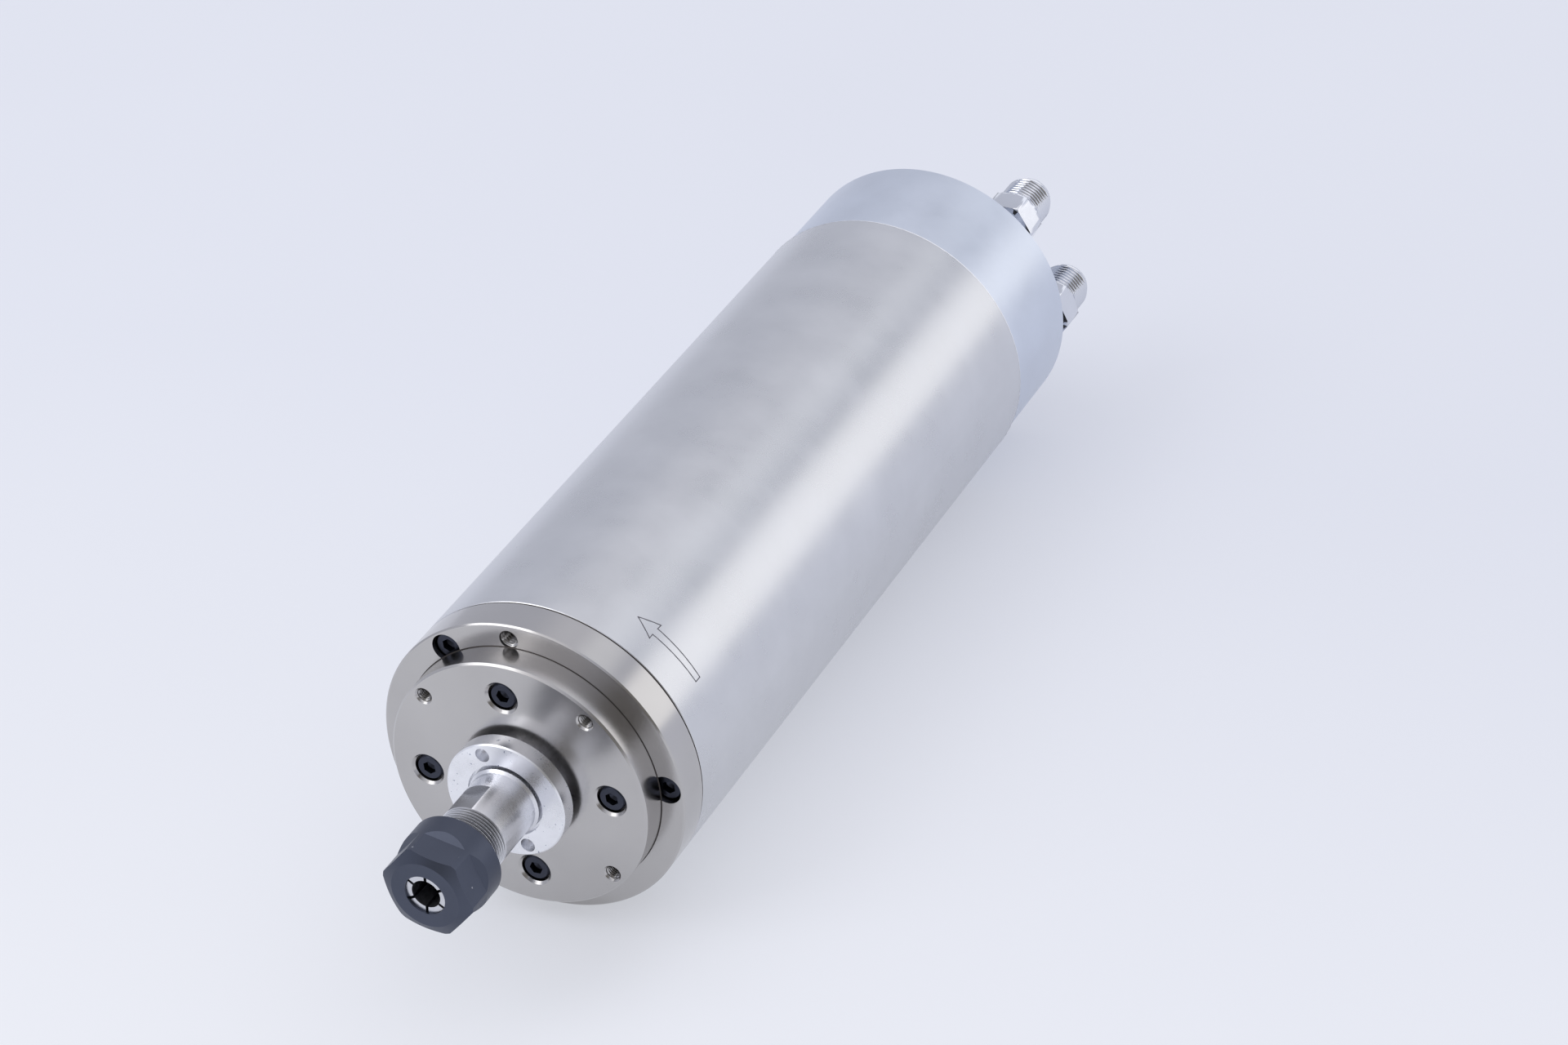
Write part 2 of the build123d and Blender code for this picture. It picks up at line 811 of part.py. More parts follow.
def rear_bearing_housing():
    outer = tube_bore - slip
    spigot = jacket_bore - slip
    body = turned(
        [
            (housing_shoulder_bore, housing_front),
            (spigot, housing_front),
            (spigot, jacket_rear),
            (outer, jacket_rear),
            (outer, housing_rear),
            (rear_outer + slip, housing_rear),
            (rear_outer + slip, spring_front),
            (housing_shoulder_bore, spring_front),
        ]
    )
    body = body - outer_groove(outer, housing_rear - housing_ring_back)
    body = body - outer_groove(spigot, (housing_front + jacket_rear) / 2)
    head = rod(m25_head_radius + slip, housing_head_top, housing_rear, housing_screw_circle)
    through = rod(m25_radius + slip, jacket_rear, housing_rear, housing_screw_circle)
    tapped = rod(m3_radius, housing_rear - screw_engagement - tapped_spare, housing_rear, rear_screw_circle)
    lead_x, lead_z = polar(lead_hole_circle, lead_hole_angle)
    lead_hole = rod(lead_hole_radius, housing_front, housing_rear, lead_x, lead_z)
    body = cut(body, around(head, housing_screw_angles))
    body = cut(body, around(through, housing_screw_angles))
    body = cut(body, around(tapped, rear_screw_angles))
    for radius, angle in zip(port_radius, port_angle):
        down = rod(water_hole, cross_y, housing_rear, radius)
        across = Pos(radius, cross_y, 0) * Rot(0, 90, 0) * Cylinder(
            cross_hole, outer + 1 - radius, align=(Align.CENTER, Align.CENTER, Align.MIN)
        )
        out = rod(jacket_port_radius, jacket_rear, cross_y, jacket_port_circle)
        seat = rod(port_ring_radius, housing_rear - port_ring_section * 2, housing_rear, radius)
        for tool in (down, across, out, seat):
            body = cut(body, around(tool, [angle]))
    return body - lead_hole


def port_o_rings():
    """Small rings that seal the water holes between the rear housing and the rear cover."""
    minor = port_ring_section - slip
    major = port_ring_radius - port_ring_section
    y = housing_rear - port_ring_section
    seal = Pos(0, y, 0) * Rot(90, 0, 0) * Torus(major, minor)
    return [Rot(0, -a, 0) * Pos(r, 0, 0) * seal for r, a in zip(port_radius, port_angle)]


def housing_screws():
    length = housing_head_top - jacket_rear + screw_engagement
    screw = rear_facing_screw(housing_screw_circle, housing_rear, m25_screw, length)
    return around(screw, housing_screw_angles)


def housing_o_rings():
    outer = tube_bore - slip
    spigot = jacket_bore - slip
    return [
        o_ring(o_ring_radius(outer), housing_rear - housing_ring_back),
        o_ring(o_ring_radius(spigot), (housing_front + jacket_rear) / 2),
    ]


def rear_lock_nut():
    back = lock_nut_front + lock_nut_length
    body = ring(lock_nut_radius, rear_bore + slip, lock_nut_front, back)
    notch = Pos(lock_nut_radius, back, 0) * Box(2 * lock_nut_slot_depth, lock_nut_length, lock_nut_slot_width)
    return cut(body, around(notch, even(lock_nut_slots)))


# ---- Rear cover ----
cavity_end = rear_face - rear_cover_wall
rear_head_top = rear_face - rear_head_recess
rear_head_seat = rear_head_top - m3_head_height
cavity_x, cavity_z = polar(cavity_offset, cavity_angle)
plug_offset_x, plug_offset_z = polar(cavity_radius - plug_nut_radius - plug_side_gap, plug_angle)
plug_x = cavity_x + plug_offset_x
plug_z = cavity_z + plug_offset_z


def rear_cover():
    c = rear_cover_chamfer
    body = turned(
        [
            (0, housing_rear),
            (tube_bore - slip, housing_rear),
            (tube_bore - slip, tube_rear),
            (rear_cover_radius - c / 2, tube_rear),
            (rear_cover_radius, tube_rear + c / 2),
            (rear_cover_radius, rear_face - c),
            (rear_cover_radius - c, rear_face),
            (0, rear_face),
        ]
    )
    body = body - rod(cavity_radius, housing_rear, cavity_end, cavity_x, cavity_z)
    body = body - rod(plug_barrel_radius + screw_clearance, cavity_end, rear_face, plug_x, plug_z)
    pocket = rod(counterbore, rear_head_seat, rear_face, rear_screw_circle)
    through = rod(m3_radius + screw_clearance, housing_rear, rear_face, rear_screw_circle)
    body = cut(body, around(pocket, rear_screw_angles))
    body = cut(body, around(through, rear_screw_angles))
    for radius, angle in zip(port_radius, port_angle):
        water = rod(water_hole, housing_rear, rear_face, radius)
        stub = rod(fitting_stub_radius, rear_face - fitting_stub_length - tapped_spare, rear_face, radius)
        body = cut(body, around(water, [angle]))
        body = cut(body, around(stub, [angle]))
    return body


def rear_cover_screws():
    length = rear_head_seat - housing_rear + screw_engagement
    screw = rear_facing_screw(rear_screw_circle, rear_head_top, m3_screw, length)
    return around(screw, rear_screw_angles)


# ---- Water fittings ----
fitting_hex_front = rear_face + fitting_neck_length
fitting_hex_rear = fitting_hex_front + fitting_hex_length
fitting_thread_front = fitting_hex_rear + fitting_shoulder_length
fitting_thread_rear = fitting_thread_front + fitting_thread_length
fitting_end = fitting_thread_rear + fitting_tip_length


def water_fitting(index):
    stub_end = rear_face - fitting_stub_length
    corner = fitting_hex / math.sqrt(3)
    body = turned(
        [
            (fitting_bore, stub_end),
            (fitting_stub_radius - thread_play, stub_end),
            (fitting_stub_radius - thread_play, rear_face),
            (fitting_neck_radius, rear_face),
            (fitting_neck_radius, fitting_hex_rear),
            (fitting_shoulder_radius, fitting_hex_rear),
            (fitting_shoulder_radius, fitting_thread_front),
            (fitting_thread_radius, fitting_thread_front),
            (fitting_thread_radius, fitting_thread_rear),
            (fitting_tip_radius, fitting_end),
            (fitting_bore, fitting_end),
        ]
    )
    outline = hexagon(fitting_hex, port_hex_turn[index] - port_angle[index])
    nut = prism(outline, fitting_hex_front, fitting_hex_rear)
    round_off = turned(
        [
            (0, fitting_hex_front),
            (corner - fitting_hex_bevel, fitting_hex_front),
            (corner, fitting_hex_front + fitting_hex_bevel),
            (corner, fitting_hex_rear - fitting_hex_crown),
            (corner - fitting_hex_crown, fitting_hex_rear),
            (0, fitting_hex_rear),
        ]
    )
    body = body + (nut & round_off) - rod(fitting_bore, stub_end, fitting_end)
    return Rot(0, -port_angle[index], 0) * Pos(port_radius[index], 0, 0) * body


def fitting_washers():
    washer = ring(washer_radius, fitting_neck_radius + slip, rear_face, rear_face + washer_thickness)
    return [Rot(0, -a, 0) * Pos(r, 0, 0) * washer for r, a in zip(port_radius, port_angle)]


# ---- Electrical connector and leads ----
plug_seat = rear_face + plug_gasket
plug_flange_rear = plug_seat + plug_flange_thickness
plug_rear = plug_flange_rear + plug_thread_length
socket_floor = plug_rear - plug_socket_depth
plug_inner = cavity_end - plug_barrel_inner
pin_tail = plug_inner - plug_pin_tail


def at_plug(shape):
    return Pos(plug_x, 0, plug_z) * shape


def connector_shell():
    body = turned(
        [
            (plug_socket_radius, plug_inner),
            (plug_barrel_radius, plug_inner),
            (plug_barrel_radius, plug_seat),
            (plug_flange_radius, plug_seat),
            (plug_flange_radius, plug_flange_rear),
            (plug_thread_radius, plug_flange_rear),
            (plug_thread_radius, plug_rear - 0.4),
            (plug_thread_radius - 0.4, plug_rear),
            (plug_socket_radius, plug_rear),
        ]
    )
    return at_plug(body)


def pin_places():
    half = plug_pin_square
    return [(half, half), (-half, half), (-half, -half), (half, -half)]


def connector_insulator():
    body = rod(plug_socket_radius - slip, plug_inner, socket_floor)
    for x, z in pin_places():
        body = body - rod(plug_pin_radius + slip, plug_inner, socket_floor, x, z)
    return at_plug(body)


def connector_pins():
    pins = []
    for x, z in pin_places():
        end = socket_floor + plug_pin_height
        stem = rod(plug_pin_radius, pin_tail, end - 0.4, x, z)
        tip = cone(plug_pin_radius, plug_pin_radius - 0.4, end - 0.4, end, x, z)
        pins.append(at_plug(stem + tip))
    return pins


def connector_nut():
    low = cavity_end - plug_nut_thickness
    across = 2 * plug_nut_radius * math.cos(math.pi / 6)
    return at_plug(prism(hexagon(across), low, cavity_end) - rod(plug_barrel_radius + slip, low, cavity_end))


def connector_gasket():
    return at_plug(ring(plug_flange_radius, plug_barrel_radius + slip, rear_face, plug_seat))


def motor_leads():
    """Three phase leads and an earth lead, from the end turns to the connector pins."""
    start = core_rear + end_turn_gap + end_turn_length
    hole_x, hole_z = polar(lead_hole_circle, lead_hole_angle)
    leads = []
    for x, z in pin_places():
        side_x = hole_x + math.copysign(lead_spread, x)
        side_z = hole_z + math.copysign(lead_spread, z)
        end_x = plug_x + x
        end_z = plug_z + z
        route = [
            (side_x, start, side_z),
            (side_x, housing_rear, side_z),
            (end_x, pin_tail - lead_end_run, end_z),
            (end_x, pin_tail, end_z),
        ]
        bend = min(math.dist(route[1], route[2]), math.dist(route[2], route[3])) * 0.45
        turn = Vector(*route[1]) - Vector(*route[0])
        onward = Vector(*route[2]) - Vector(*route[1])
        radius = bend / math.tan(math.radians(turn.get_angle(onward)) / 2)
        path = FilletPolyline(*route, radius=radius)
        section = Plane(origin=route[0], z_dir=(0, 1, 0)) * Circle(lead_radius)
        lead = sweep(section, path=path)
        expected = math.pi * lead_radius**2 * path.length
        print("lead", round(radius, 1), "volume over section times length", round(lead.volume / expected, 4))
        leads.append(lead)
    return leads


# ---- All nodes ----
def nodes():
    pieces = {
        "outer_tube": outer_tube(),
        "front_flange": front_flange(),
        "front_bearing_cover": front_bearing_cover(),
        "cover_screws": cover_screws(),
        "flange_screws": flange_screws(),
        "flange_o_ring": o_ring(o_ring_radius(jacket_bore - slip), tube_front + flange_ring_place),
        "cooling_jacket": cooling_jacket(),
        "jacket_o_ring": o_ring(o_ring_radius(tube_bore - slip), tube_front + jacket_ring_place),
        "stator_core": stator_core(),
        "slot_liners": slot_liners(),
        "slot_wedges": slot_wedges(),
        "stator_windings": stator_windings(),
        "outer_spacer": outer_spacer(),
        "inner_spacer": inner_spacer(),
        "preload_spring": preload_spring(),
        "rear_bearing_housing": rear_bearing_housing(),
        "housing_o_rings": housing_o_rings(),
        "housing_screws": housing_screws(),
        "port_o_rings": port_o_rings(),
        "rear_cover": rear_cover(),
        "rear_cover_screws": rear_cover_screws(),
        "water_inlet_fitting": water_fitting(0),
        "water_outlet_fitting": water_fitting(1),
        "fitting_washers": fitting_washers(),
        "connector_shell": connector_shell(),
        "connector_insulator": connector_insulator(),
        "connector_pins": connector_pins(),
        "connector_nut": connector_nut(),
        "connector_gasket": connector_gasket(),
        "motor_leads": motor_leads(),
        "shaft": shaft(),
        "rotor_core": rotor_core(),
        "rotor_cage": rotor_cage(),
        "dust_ring": dust_ring(),
        "rear_lock_nut": rear_lock_nut(),
        "collet": collet(),
        "collet_nut": collet_nut(),
    }
    bearings = {
        "front_bearing": bearing(bearing_1, front_width, front_bore, front_outer, front_ball, front_balls),
        "inner_bearing": bearing(bearing_2, front_width, front_bore, front_outer, front_ball, front_balls),
        "rear_bearing": bearing(rear_bearing, rear_width, rear_bore, rear_outer, rear_ball, rear_balls),
    }
    for name, races in bearings.items():
        for piece, shape in races.items():
            pieces[f"{name}_{piece}"] = shape
    return pieces


os.makedirs("parts", exist_ok=True)
for node, shape in nodes().items():
    solids = shape if isinstance(shape, list) else [shape]
    export_step(Compound(children=[s for piece in solids for s in piece.solids()]), f"parts/{node}.step")
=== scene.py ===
import math

import bmesh
import bpy
from mathutils import Matrix, Vector


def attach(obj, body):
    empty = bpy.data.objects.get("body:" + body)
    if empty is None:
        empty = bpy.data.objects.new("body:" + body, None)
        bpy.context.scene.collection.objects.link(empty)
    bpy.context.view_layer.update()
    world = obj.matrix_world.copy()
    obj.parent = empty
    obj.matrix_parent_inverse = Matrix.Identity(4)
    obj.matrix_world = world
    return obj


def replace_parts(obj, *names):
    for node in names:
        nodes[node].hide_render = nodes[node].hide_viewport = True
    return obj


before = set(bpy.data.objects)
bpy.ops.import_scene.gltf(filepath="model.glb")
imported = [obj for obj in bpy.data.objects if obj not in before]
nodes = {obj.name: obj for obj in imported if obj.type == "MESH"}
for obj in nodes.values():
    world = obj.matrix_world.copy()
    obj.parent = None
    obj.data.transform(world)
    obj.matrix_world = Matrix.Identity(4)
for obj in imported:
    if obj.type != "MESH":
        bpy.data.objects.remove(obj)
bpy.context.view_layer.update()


def srgb(r, g, b):
    """A colour given as screen values 0-255, as the linear colour that the shaders take."""
    def linear(c):
        return ((c / 255 + 0.055) / 1.055) ** 2.4 if c > 10 else c / 255 / 12.92

    return linear(r), linear(g), linear(b), 1.0


# ---- Camera, from the fit to the photo ----
CAMERA_LENS = 96.65
CAMERA_PLACE = (0.38229, -0.64135, 0.44836)
CAMERA_RIGHT = (0.89523, 0.42700, -0.12741)
CAMERA_UP = (-0.12476, 0.51467, 0.84826)
CAMERA_BACK = (0.42778, -0.74350, 0.51401)

camera_data = bpy.data.cameras.new("view_camera")
camera_data.sensor_fit = "HORIZONTAL"
camera_data.sensor_width = 36.0
camera_data.lens = CAMERA_LENS
camera = bpy.data.objects.new("view_camera", camera_data)
camera_turn = Matrix((CAMERA_RIGHT, CAMERA_UP, CAMERA_BACK)).transposed().to_4x4()
camera.matrix_world = Matrix.Translation(CAMERA_PLACE) @ camera_turn
bpy.context.scene.collection.objects.link(camera)
bpy.context.scene.camera = camera
bpy.context.scene.view_settings.view_transform = "Standard"


# ---- Material helpers ----
class Nodes:
    """A small builder for one material's node tree."""

    def __init__(self, name):
        self.material = bpy.data.materials.new(name)
        self.material.use_nodes = True
        self.tree = self.material.node_tree
        self.shader = self.tree.nodes["Principled BSDF"]
        self.coordinates = self.add("ShaderNodeTexCoord").outputs["Object"]

    def add(self, kind, **settings):
        node = self.tree.nodes.new(kind)
        for key, value in settings.items():
            setattr(node, key, value)
        return node

    def link(self, source, target):
        self.tree.links.new(source, target)

    def set(self, **values):
        for key, value in values.items():
            self.shader.inputs[key.replace("_", " ")].default_value = value

    def scaled(self, scale):
        """The object's own coordinates times a scale for each axis."""
        mapping = self.add("ShaderNodeMapping")
        mapping.inputs["Scale"].default_value = scale
        self.link(self.coordinates, mapping.inputs["Vector"])
        return mapping.outputs["Vector"]

    def noise(self, scale, detail=3.0, roughness=0.5, stretch=(1, 1, 1)):
        node = self.add("ShaderNodeTexNoise")
        node.inputs["Scale"].default_value = scale
        node.inputs["Detail"].default_value = detail
        node.inputs["Roughness"].default_value = roughness
        self.link(self.scaled(stretch), node.inputs["Vector"])
        return node.outputs["Fac"]

    def ranged(self, value, low, high, to_low, to_high):
        node = self.add("ShaderNodeMapRange")
        for key, number in zip(("From Min", "From Max", "To Min", "To Max"), (low, high, to_low, to_high)):
            node.inputs[key].default_value = number
        self.link(value, node.inputs["Value"])
        return node.outputs["Result"]

    def ramp(self, value, stops):
        node = self.add("ShaderNodeValToRGB")
        elements = node.color_ramp.elements
        while len(elements) < len(stops):
            elements.new(0.5)
        for element, (place, colour) in zip(elements, stops):
            element.position, element.color = place, colour
        self.link(value, node.inputs["Fac"])
        return node.outputs["Color"]

    def mixed(self, factor, first, second):
        """A colour between two, each a colour or another node's output."""
        node = self.add("ShaderNodeMix", data_type="RGBA")
        for socket, value in ((node.inputs[6], first), (node.inputs[7], second)):
            if isinstance(value, tuple):
                socket.default_value = value
            else:
                self.link(value, socket)
        self.link(factor, node.inputs[0])
        return node.outputs[2]

    def math(self, operation, first, second=None):
        node = self.add("ShaderNodeMath", operation=operation)
        for socket, value in zip(node.inputs, (first, second)):
            if value is None:
                continue
            if isinstance(value, (int, float)):
                socket.default_value = value
            else:
                self.link(value, socket)
        return node.outputs[0]

    def bump(self, height, strength, distance):
        node = self.add("ShaderNodeBump")
        node.inputs["Strength"].default_value = strength
        node.inputs["Distance"].default_value = distance
        self.link(height, node.inputs["Height"])
        self.link(node.outputs["Normal"], self.shader.inputs["Normal"])

    def to(self, output, socket):
        self.link(output, self.shader.inputs[socket])

    def along(self, axis):
        """The object's own X, Y or Z, in metres."""
        split = self.add("ShaderNodeSeparateXYZ")
        self.link(self.coordinates, split.inputs[0])
        return split.outputs[axis]

    def radius(self):
        """The distance from the object's own Y axis, in metres."""
        x, z = self.along("X"), self.along("Z")
        return self.math("SQRT", self.math("ADD", self.math("MULTIPLY", x, x), self.math("MULTIPLY", z, z)))


def shaded(colour, factor):
    return tuple(c * factor for c in colour[:3]) + (1.0,)


METAL_GRAIN_SCALE, METAL_GRAIN_DEPTH = 900, 0.00002
SPECK_EDGE = 0.025


def metal(name, colour, roughness, cloud=0.06, cloud_scale=60, grain=0.04, stretch=(1, 1, 1), bump=0.03,
          specks=None, speck_scale=700, speck_share=0.30, shadow=None, shadow_level=0.15, polish=None):
    """A bare or plated metal, with a clouded colour, a fine grain and pits or specks.

    Its roughness varies with the cloud and the grain. shadow(n) is 1 where the metal lies deep and painted
    shade darkens its base colour to shadow_level of it, and polish(n) multiplies the roughness.
    """
    n = Nodes(name)
    n.set(Metallic=1.0)
    broad = n.noise(cloud_scale, 4.0, 0.55)
    fine = n.noise(METAL_GRAIN_SCALE, 4.0, 0.6, stretch)
    base = n.ramp(broad, [(0.3, shaded(colour, 1 - cloud)), (0.7, shaded(colour, 1 + cloud * 0.6))])
    if specks:
        dots = n.noise(speck_scale, 2.0, 0.5)
        mask = n.ranged(dots, speck_share - SPECK_EDGE, speck_share, 1.0, 0.0)
        base = n.mixed(mask, base, specks)
    if shadow:
        base = n.mixed(shadow(n), base, shaded(colour, shadow_level))
    n.to(base, "Base Color")
    rough = n.math("ADD", n.ranged(broad, 0.3, 0.7, roughness * 0.88, roughness * 1.12),
                   n.ranged(fine, 0.3, 0.7, -grain / 2, grain / 2))
    if polish:
        rough = n.math("MULTIPLY", rough, polish(n))
    n.to(rough, "Roughness")
    n.bump(fine, bump, METAL_GRAIN_DEPTH)
    return n.material


PLASTIC_CLOUD, PLASTIC_CLOUD_SCALE = 0.12, 200
PLASTIC_BUMP, PLASTIC_BUMP_SCALE, PLASTIC_BUMP_DEPTH = 0.1, 2500, 0.00003


def plastic(name, colour, roughness):
    """A moulded or sheet insulator, with a slight mottle and a fine surface texture."""
    n = Nodes(name)
    n.set(Specular_IOR_Level=0.5)
    broad = n.noise(PLASTIC_CLOUD_SCALE)
    fine = n.noise(PLASTIC_BUMP_SCALE, 3.0, 0.6)
    dark, light = shaded(colour, 1 - PLASTIC_CLOUD), shaded(colour, 1 + PLASTIC_CLOUD)
    n.to(n.ramp(broad, [(0.3, dark), (0.7, light)]), "Base Color")
    n.to(n.ranged(fine, 0.3, 0.7, roughness * 0.85, roughness * 1.15), "Roughness")
    n.bump(fine, PLASTIC_BUMP, PLASTIC_BUMP_DEPTH)
    return n.material


# ---- Floor: metal sees the same floor as the camera does ----
FLOOR_Z, FLOOR_HALF = -0.0325, 4.0
# Painted light: the floor's glow grows lighter toward the front, between these two places along Y.
FLOOR_FAR, FLOOR_NEAR = 0.10, -0.22  # the Y between which the floor gets lighter
FLOOR_GLOW = 0.5  # the share of the floor's look that takes no shadow

floor_nodes = Nodes("floor_paper")
floor_nodes.set(Roughness=0.9, Specular_IOR_Level=0.1)
floor_cloud = floor_nodes.noise(3.0, 3.0, 0.5)
floor_colour = floor_nodes.ramp(floor_cloud, [(0.25, srgb(220, 223, 233)), (0.75, srgb(228, 231, 240))])
floor_nodes.to(floor_colour, "Base Color")
floor_glow = floor_nodes.add("ShaderNodeEmission")
rays = floor_nodes.add("ShaderNodeLightPath").outputs
# The glow's tone is lighter toward the front, as painted light on the floor.
floor_near = floor_nodes.ranged(floor_nodes.along("Y"), FLOOR_FAR, FLOOR_NEAR, 0.0, 1.0)
floor_tone = floor_nodes.mixed(floor_near, srgb(228, 231, 242), srgb(252, 253, 255))
floor_nodes.link(floor_tone, floor_glow.inputs["Color"])
seen = floor_nodes.math("ADD", rays["Is Camera Ray"], rays["Is Glossy Ray"])
seen = floor_nodes.math("ADD", seen, rays["Is Transmission Ray"])
floor_mix = floor_nodes.add("ShaderNodeMixShader")
floor_nodes.link(floor_nodes.math("MULTIPLY", seen, FLOOR_GLOW), floor_mix.inputs[0])
floor_nodes.link(floor_nodes.shader.outputs[0], floor_mix.inputs[1])
floor_nodes.link(floor_glow.outputs[0], floor_mix.inputs[2])
floor_nodes.link(floor_mix.outputs[0], floor_nodes.tree.nodes["Material Output"].inputs["Surface"])
floor_mesh = bpy.data.meshes.new("floor")
floor_corners = [(x * FLOOR_HALF, y * FLOOR_HALF, FLOOR_Z) for x, y in ((-1, -1), (1, -1), (1, 1), (-1, 1))]
floor_mesh.from_pydata(floor_corners, [], [(0, 1, 2, 3)])
floor = bpy.data.objects.new("floor", floor_mesh)
floor_mesh.materials.append(floor_nodes.material)
bpy.context.scene.collection.objects.link(floor)

# ---- Surroundings: a studio with a bright ceiling, right side and back, and a dark zone in front ----
world = bpy.data.worlds.new("studio")
bpy.context.scene.world = world
world.use_nodes = True
sky = world.node_tree
direction = sky.nodes.new("ShaderNodeTexCoord").outputs["Generated"]
split = sky.nodes.new("ShaderNodeSeparateXYZ")
sky.links.new(direction, split.inputs[0])


def sky_edge(axis, low, high):
    """From 0 to 1 as the direction's own X, Y or Z goes from low to high."""
    node = sky.nodes.new("ShaderNodeMapRange")
    node.interpolation_type = "SMOOTHSTEP"
    node.inputs["From Min"].default_value = low
    node.inputs["From Max"].default_value = high
    sky.links.new(split.outputs[axis], node.inputs["Value"])
    return node.outputs["Result"]


def sky_zone(below, colour, *edges):
    """The surroundings below, with a zone of another colour where every edge is 1."""
    factor = edges[0]
    for edge in edges[1:]:
        product = sky.nodes.new("ShaderNodeMath")
        product.operation = "MULTIPLY"
        sky.links.new(factor, product.inputs[0])
        sky.links.new(edge, product.inputs[1])
        factor = product.outputs[0]
    mix = sky.nodes.new("ShaderNodeMix")
    mix.data_type = "RGBA"
    sky.links.new(factor, mix.inputs[0])
    if isinstance(below, tuple):
        mix.inputs[6].default_value = below
    else:
        sky.links.new(below, mix.inputs[6])
    mix.inputs[7].default_value = colour
    return mix.outputs[2]


room = (0.60, 0.62, 0.70, 1)
ceiling = (1.15, 1.14, 1.17, 1)
upper_right = (0.92, 0.94, 1.00, 1)
dark_front = (0.235, 0.225, 0.215, 1)
side_screen = (1.28, 1.28, 1.31, 1)
backdrop = (1.05, 1.08, 1.16, 1)
shade = sky_zone(room, upper_right, sky_edge("X", 0.06, 0.26), sky_edge("Z", 0.49, 0.60),
                 sky_edge("Y", 0.0, 0.3))
shade = sky_zone(shade, ceiling, sky_edge("Z", 0.65, 0.84))
shade = sky_zone(shade, dark_front, sky_edge("X", -0.60, -0.15), sky_edge("Y", -0.15, -0.55),
                 sky_edge("Z", 0.64, 0.44))
shade = sky_zone(shade, side_screen, sky_edge("X", 0.38, 0.56), sky_edge("Z", 0.49, 0.38),
                 sky_edge("Y", 0.1, 0.4))
shade = sky_zone(shade, backdrop, sky_edge("Y", 0.84, 0.94), sky_edge("Z", 0.45, 0.30))
sky.links.new(shade, sky.nodes["Background"].inputs["Color"])
sky.nodes["Background"].inputs["Strength"].default_value = 1.0

# ---- Key lamp: a square soft lamp that faces the origin ----
KEY_PLACE, KEY_WIDTH, KEY_RADIANCE = (-0.95, -0.95, 1.45), 1.1, 1.7
key_data = bpy.data.lights.new("key_lamp", "AREA")
key_data.shape = "RECTANGLE"
key_data.size, key_data.size_y = KEY_WIDTH, KEY_WIDTH
key_data.energy = KEY_RADIANCE * math.pi * KEY_WIDTH * KEY_WIDTH
key_lamp = bpy.data.objects.new("key_lamp", key_data)
key_lamp.location = KEY_PLACE
key_lamp.rotation_euler = (-Vector(KEY_PLACE)).to_track_quat("-Z", "Y").to_euler()
bpy.context.scene.collection.objects.link(key_lamp)

# ---- Materials ----
RIM_INNER, RIM_OUTER = 0.0319, 0.0322  # radii in metres between which the flange's rim gets its polish
tube_steel = metal("tube_steel", srgb(213, 214, 217), 0.29, grain=0.015, bump=0.006,
                   specks=srgb(182, 183, 188), speck_scale=420, speck_share=0.19)
flange_steel = metal("flange_steel", srgb(192, 190, 189), 0.225, cloud_scale=45, grain=0.02, bump=0.01,
                     polish=lambda n: n.ranged(n.radius(), RIM_INNER, RIM_OUTER, 1.0, 0.72))
black_oxide = metal("black_oxide", srgb(66, 69, 80), 0.36, cloud=0.2)
nut_oxide = metal("nut_oxide", srgb(84, 89, 103), 0.40, cloud=0.12, specks=srgb(165, 167, 175),
                  speck_scale=500, speck_share=0.22)
matte_aluminium = metal("matte_aluminium", srgb(214, 220, 231), 0.36, bump=0.015)
bright_aluminium = metal("bright_aluminium", srgb(243, 244, 248), 0.29, cloud=0.10, cloud_scale=170,
                         specks=srgb(142, 149, 168), speck_scale=1300, speck_share=0.30)
nickel = metal("nickel", srgb(222, 224, 230), 0.12)


# Where painted shade darkens the metal, in metres: the two radii or the two places along Y between which the
# tone changes
GROOVE_RADII, GROOVE_START = (0.0067, 0.00692), (-0.1101, -0.1099)
FLAT_RADII, FLAT_START, FLAT_SHARE = (0.00690, 0.00698), (-0.1027, -0.1026), 0.45
NOSE_HOLE_DEPTHS, JACK_HOLE_DEPTHS = (-0.0922, -0.0890), (-0.0861, -0.0825)


def nose_painted_shade(n):
    """1 in the grooves of the thread on the shaft's nose, as painted shade, and less on the wrench flats
    behind it, as a painted dark reflection.
    """
    inside = n.ranged(n.radius(), *GROOVE_RADII, 1.0, 0.0)
    ahead = n.ranged(n.along("Y"), *GROOVE_START, 1.0, 0.0)
    groove_shade = n.math("MULTIPLY", inside, ahead)
    flat_dark_reflection = n.math("MULTIPLY", n.ranged(n.radius(), *FLAT_RADII, FLAT_SHARE, 0.0),
                    n.ranged(n.along("Y"), *FLAT_START, 1.0, 0.0))
    return n.math("MAXIMUM", groove_shade, flat_dark_reflection)


# The shaft's steel: its base colour carries painted shade in the nose's thread grooves and a painted dark
# reflection on the wrench flats.
ground_steel = metal("ground_steel", srgb(230, 231, 236), 0.29, grain=0.05, stretch=(1, 8, 1),
                     shadow=nose_painted_shade, shadow_level=0.06)
# Steel of the tapped holes, with painted shade that darkens the base colour deeper into each hole.
nose_hole_painted_shade_steel = metal("nose_hole_painted_shade_steel", srgb(196, 194, 193), 0.20,
                        shadow=lambda n: n.ranged(n.along("Y"), *NOSE_HOLE_DEPTHS, 0.0, 1.0))
jack_hole_painted_shade_steel = metal("jack_hole_painted_shade_steel", srgb(196, 194, 193), 0.20,
                        shadow=lambda n: n.ranged(n.along("Y"), *JACK_HOLE_DEPTHS, 0.0, 1.0))
